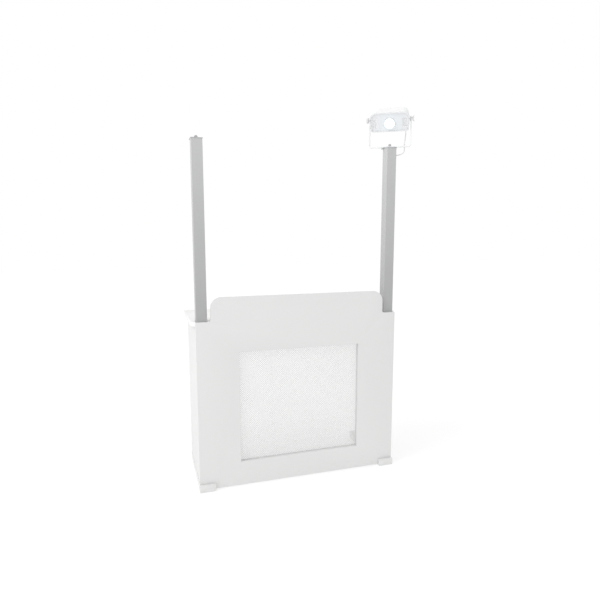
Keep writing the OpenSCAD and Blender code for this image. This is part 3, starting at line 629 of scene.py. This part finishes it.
def makeSheet(setup):
    left, right, bottom, top = windowEdges()
    low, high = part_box("window_infill")
    pitch = setup["pitch"]
    cell = bmesh.new()
    bmesh.ops.create_circle(cell, segments=4, radius=pitch / math.sqrt(2))
    bmesh.ops.create_circle(cell, segments=4, radius=(pitch - setup["strand"]) / math.sqrt(2))
    bmesh.ops.bridge_loops(cell, edges=cell.edges)
    upright = Matrix.Rotation(math.radians(90), 4, "X")
    bmesh.ops.transform(cell, matrix=upright, verts=cell.verts)
    cellMesh = bpy.data.meshes.new("sheetCell")
    cell.to_mesh(cellMesh)
    cell.free()
    bm = bmesh.new()
    step = pitch * math.sqrt(2)
    middle = Vector(((left + right) / 2, high.y, (bottom + top) / 2))
    across = int((right - left) / step / 2) + 2
    upward = int((top - bottom) / step) + 3
    for row in range(-upward, upward + 1):
        for column in range(-across, across + 1):
            shift = Vector(((column + (row % 2) / 2) * step, 0, row * step / 2))
            spot = middle + shift
            if not (left - pitch < spot.x < right + pitch and bottom - pitch < spot.z < top + pitch):
                continue
            cellMesh.transform(Matrix.Translation(spot))
            bm.from_mesh(cellMesh)
            cellMesh.transform(Matrix.Translation(-spot))
    bpy.data.meshes.remove(cellMesh)
    bmesh.ops.remove_doubles(bm, verts=bm.verts, dist=1e-5)
    lap = setup["lap"]
    for spot, way in ((Vector((left - lap, 0, 0)), Vector((-1, 0, 0))),
                      (Vector((right + lap, 0, 0)), Vector((1, 0, 0))),
                      (Vector((0, 0, bottom - lap)), Vector((0, 0, -1))),
                      (Vector((0, 0, top + lap)), Vector((0, 0, 1)))):
        bmesh.ops.bisect_plane(bm, geom=bm.verts[:] + bm.edges[:] + bm.faces[:], plane_co=spot,
                               plane_no=way, clear_outer=True)
    bmesh.ops.recalc_face_normals(bm, faces=bm.faces)
    sheet = addPiece("windowMesh", bm, "mesh_white", rootBody, ["window_infill"])
    solid = sheet.modifiers.new("thickness", "SOLIDIFY")
    solid.thickness = high.y - low.y
    solid.offset = 1.0 if sheet.data.polygons[0].normal.y < 0 else -1.0
    print("mesh faces:", len(sheet.data.polygons))


makeSheet(sheetSetup)

# the lamp's lead, along the route that it has in the frame
leadSetup = {
    "radius": 0.003,
    "underClip": 0.014,                # straight length under the clip
    "blendMargin": 0.010,              # by the clip, where the lead doesn't bend
    "tilt": 28,                        # degrees that the lamp looks down
    "gland": (0.088, 0.009, -0.0660),  # nose of the gland, in the head's frame
    "drop": 0.008,                     # straight length under the nose
    "clip": (0.084, 0.021, -0.154),    # in the yoke's frame, from the tilt axis
    "upper": [(0.004, 0.022, 0.084), (0.004, 0.021, 0.072), (0.003, 0.017, 0.059),
              (0.002, 0.011, 0.046), (0.001, 0.005, 0.033), (0, 0.001, 0.020), (0, 0, 0.010), (0, 0, 0)],
    "hole": 0.038,                     # of the mast's side, below the tube's top
    "lower": [(0.052, -0.028, 0.025), (0.050, -0.027, 0.018), (0.044, -0.023, 0.010), (0.035, -0.016, 0.0045),
              (0.025, -0.009, 0.0015), (0.016, -0.003, 0.0003), (0.009, 0, 0), (0.004, 0, 0)],
}


tubeSteps = 5       # round the tube, and between two points along it


def makeTube(name, points, radius, stands):
    curve = bpy.data.curves.new(name, "CURVE")
    curve.dimensions = "3D"
    curve.bevel_depth = radius
    curve.bevel_resolution = tubeSteps
    curve.use_fill_caps = True
    line = curve.splines.new("BEZIER")
    line.bezier_points.add(len(points) - 1)
    for knot, point in zip(line.bezier_points, points):
        knot.co = point
        knot.handle_left_type = knot.handle_right_type = "AUTO"
    line.resolution_u = tubeSteps
    holder = bpy.data.objects.new(name + "Line", curve)
    scene.collection.objects.link(holder)
    mesh = bpy.data.meshes.new_from_object(holder)
    bpy.data.objects.remove(holder)
    bm = bmesh.new()
    bm.from_mesh(mesh)
    bpy.data.meshes.remove(mesh)
    return addPiece(name, bm, "lead_grey", None, stands, smoothAngle=60)


def makeLead(setup):
    turn = Matrix.Rotation(panRest, 4, "Z")
    nod = Matrix.Rotation(math.radians(setup["tilt"]), 4, "X")
    clip = Vector(setup["clip"])
    gland = Vector(setup["gland"])
    inYoke = [nod @ gland, nod @ (gland - Vector((0, 0, setup["drop"])))]
    inYoke += [clip + Vector(p) for p in setup["upper"]]
    upper = [tiltAxis + turn @ p for p in inYoke]
    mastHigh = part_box("mast_right")[1]
    hole = Vector((mastHigh.x, mastAxis.y, mastHigh.z - setup["hole"]))
    lower = [upper[-1], upper[-1] - Vector((0, 0, setup["underClip"]))] + [hole + Vector(p) for p in setup["lower"]]
    upperTube = makeTube("leadToLamp", upper, setup["radius"], ["lead_upper"])
    lowerTube = makeTube("leadToMast", lower, setup["radius"], ["lead_lower"])
    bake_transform(upperTube)
    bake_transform(lowerTube)


makeLead(leadSetup)
print("lead laid")
